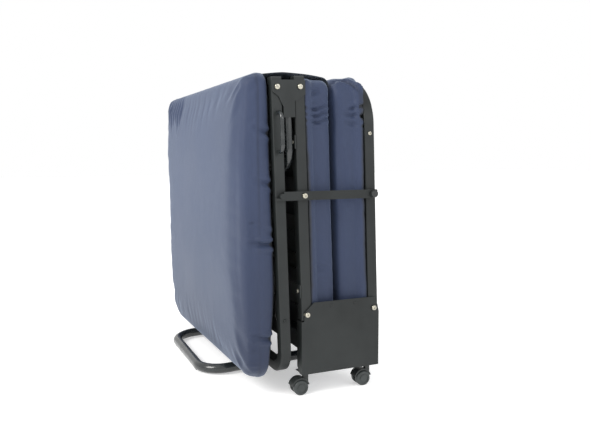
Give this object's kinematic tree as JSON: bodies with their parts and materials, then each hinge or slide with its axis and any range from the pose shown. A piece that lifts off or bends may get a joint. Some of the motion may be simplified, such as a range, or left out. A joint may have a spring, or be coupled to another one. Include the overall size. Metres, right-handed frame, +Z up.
{
  "type": "folding guest bed",
  "caption": "Folding guest bed on casters, stored upright: hinged frame sections with mattress pads, swing-out legs, a hook latch and an anti-tip foot.",
  "frame": {"origin": "on the floor, under the middle of the folded bed's bounding box", "axes": "+Z up, +Y across the bed's width away from the latch side, +X through the folded stack from the head mattress to the foot frame"},
  "size_m": [0.3865, 0.83, 0.7408],
  "materials": {
    "frame_black": "satin black powder coat",
    "slat_steel": "satin black powder coat",
    "tube_gloss": "glossy black enamel",
    "zinc": "bright zinc plate",
    "plastic_black": "moulded, fine grain",
    "wheel_black": "moulded nylon",
    "rubber_black": "matt rubber",
    "cover_blue": "woven polyester with a soft sheen",
    "strip_dark": "dark woven polyester"
  },
  "bodies": {
    "base": {"end_plate_near": "frame_black", "end_plate_far": "frame_black", "base_cross_rail_left": "frame_black", "base_cross_rail_right": "frame_black", "stabiliser_foot": "tube_gloss", "stabiliser_hangers": "frame_black", "stabiliser_glides": "rubber_black", "base_pivot_bolts": "zinc", "base_pivot_nuts": "zinc", "base_pivot_washers": "zinc", "plate_stiffeners": "frame_black", "plate_rivets": "frame_black", "caster_stems": "zinc"},
    "middle_section": {"middle_rail_near": "frame_black", "middle_rail_far": "frame_black", "middle_end_caps": "plastic_black", "middle_braces": "frame_black", "brace_bolts": "zinc", "middle_slats": "slat_steel", "middle_mattress": "cover_blue", "strip_middle": "strip_dark", "latch_pivot_bolt": "zinc", "latch_spacer": "zinc"},
    "latch": {"latch_bar": "frame_black"},
    "link_bracket": {"link_plate_near": "frame_black", "link_plate_far": "frame_black", "support_leg": "tube_gloss", "support_leg_glides": "rubber_black", "link_bolts": "zinc", "link_nuts": "zinc"},
    "head_section": {"head_frame": "frame_black", "head_slats": "slat_steel", "head_end_caps": "plastic_black", "head_mattress": "cover_blue", "strip_head": "strip_dark", "grab_handle": "tube_gloss", "head_leg_bolts": "frame_black", "latch_stud_left": "frame_black"},
    "head_leg": {"head_leg": "tube_gloss", "head_leg_glides": "rubber_black"},
    "foot_section": {"foot_frame": "frame_black", "foot_slats": "slat_steel", "foot_end_caps": "plastic_black", "foot_mattress": "cover_blue", "foot_leg_bolts": "zinc", "latch_stud_right": "zinc", "latch_knob": "plastic_black"},
    "foot_leg": {"foot_leg": "tube_gloss", "foot_leg_glides": "rubber_black"},
    "caster_near_left": {"caster_hood_near_left": "plastic_black"},
    "wheels_near_left": {"caster_wheels_near_left": "wheel_black"},
    "caster_near_right": {"caster_hood_near_right": "plastic_black"},
    "wheels_near_right": {"caster_wheels_near_right": "wheel_black"},
    "caster_far_left": {"caster_hood_far_left": "plastic_black"},
    "wheels_far_left": {"caster_wheels_far_left": "wheel_black"},
    "caster_far_right": {"caster_hood_far_right": "plastic_black"},
    "wheels_far_right": {"caster_wheels_far_right": "wheel_black"}
  },
  "joints": [
    {"name": "middle_fold", "type": "hinge", "parent": "base", "child": "middle_section", "pos_m": [0.00525, 0.0105, 0.193], "axis": [0, -1, 0], "range_deg": [0, 88.1]},
    {"name": "link_level", "type": "hinge", "parent": "middle_section", "child": "link_bracket", "pos_m": [-0.01179, 0.0105, 0.70672], "axis": [0, 1, 0], "range_deg": [0, 90], "deforming": ["strip_middle"]},
    {"name": "head_fold", "type": "hinge", "parent": "link_bracket", "child": "head_section", "pos_m": [-0.06576, 0.0105, 0.70493], "axis": [0, 1, 0], "range_deg": [0, 90], "deforming": ["strip_head"]},
    {"name": "head_leg_swing", "type": "hinge", "parent": "head_section", "child": "head_leg", "pos_m": [-0.04845, 0.0105, 0.18321], "axis": [0, 1, 0], "range_deg": [0, 90]},
    {"name": "foot_fold", "type": "hinge", "parent": "base", "child": "foot_section", "pos_m": [0.17925, 0.0105, 0.193], "axis": [0, 1, 0], "range_deg": [0, 91.9]},
    {"name": "foot_leg_swing", "type": "hinge", "parent": "foot_section", "child": "foot_leg", "pos_m": [0.16552, 0.0105, 0.60677], "axis": [0, 1, 0], "range_deg": [-90, 0]},
    {"name": "latch_swing", "type": "hinge", "parent": "middle_section", "child": "latch", "pos_m": [-0.00384, -0.395, 0.467], "axis": [0, -1, 0], "range_deg": [0, 90]},
    {"name": "swivel_near_left", "type": "hinge", "parent": "base", "child": "caster_near_left", "pos_m": [0.01025, -0.3645, 0.045], "axis": [0, 0, 1], "continuous": true},
    {"name": "roll_near_left", "type": "hinge", "parent": "caster_near_left", "child": "wheels_near_left", "pos_m": [-0.00575, -0.3645, 0.018], "axis": [0, 1, 0], "continuous": true},
    {"name": "swivel_near_right", "type": "hinge", "parent": "base", "child": "caster_near_right", "pos_m": [0.17425, -0.3645, 0.045], "axis": [0, 0, 1], "continuous": true},
    {"name": "roll_near_right", "type": "hinge", "parent": "caster_near_right", "child": "wheels_near_right", "pos_m": [0.15825, -0.3645, 0.018], "axis": [0, 1, 0], "continuous": true},
    {"name": "swivel_far_left", "type": "hinge", "parent": "base", "child": "caster_far_left", "pos_m": [0.01025, 0.3855, 0.045], "axis": [0, 0, 1], "continuous": true},
    {"name": "roll_far_left", "type": "hinge", "parent": "caster_far_left", "child": "wheels_far_left", "pos_m": [-0.00575, 0.3855, 0.018], "axis": [0, 1, 0], "continuous": true},
    {"name": "swivel_far_right", "type": "hinge", "parent": "base", "child": "caster_far_right", "pos_m": [0.17425, 0.3855, 0.045], "axis": [0, 0, 1], "continuous": true},
    {"name": "roll_far_right", "type": "hinge", "parent": "caster_far_right", "child": "wheels_far_right", "pos_m": [0.15825, 0.3855, 0.018], "axis": [0, 1, 0], "continuous": true}
  ],
  "couplings": [
    {"joint": "link_level", "follows": "middle_fold", "ratio": 1.0216},
    {"joint": "head_fold", "follows": "middle_fold", "ratio": 1.0216},
    {"joint": "head_leg_swing", "follows": "middle_fold", "ratio": 1.0216},
    {"joint": "foot_leg_swing", "follows": "foot_fold", "ratio": -0.97933}
  ]
}
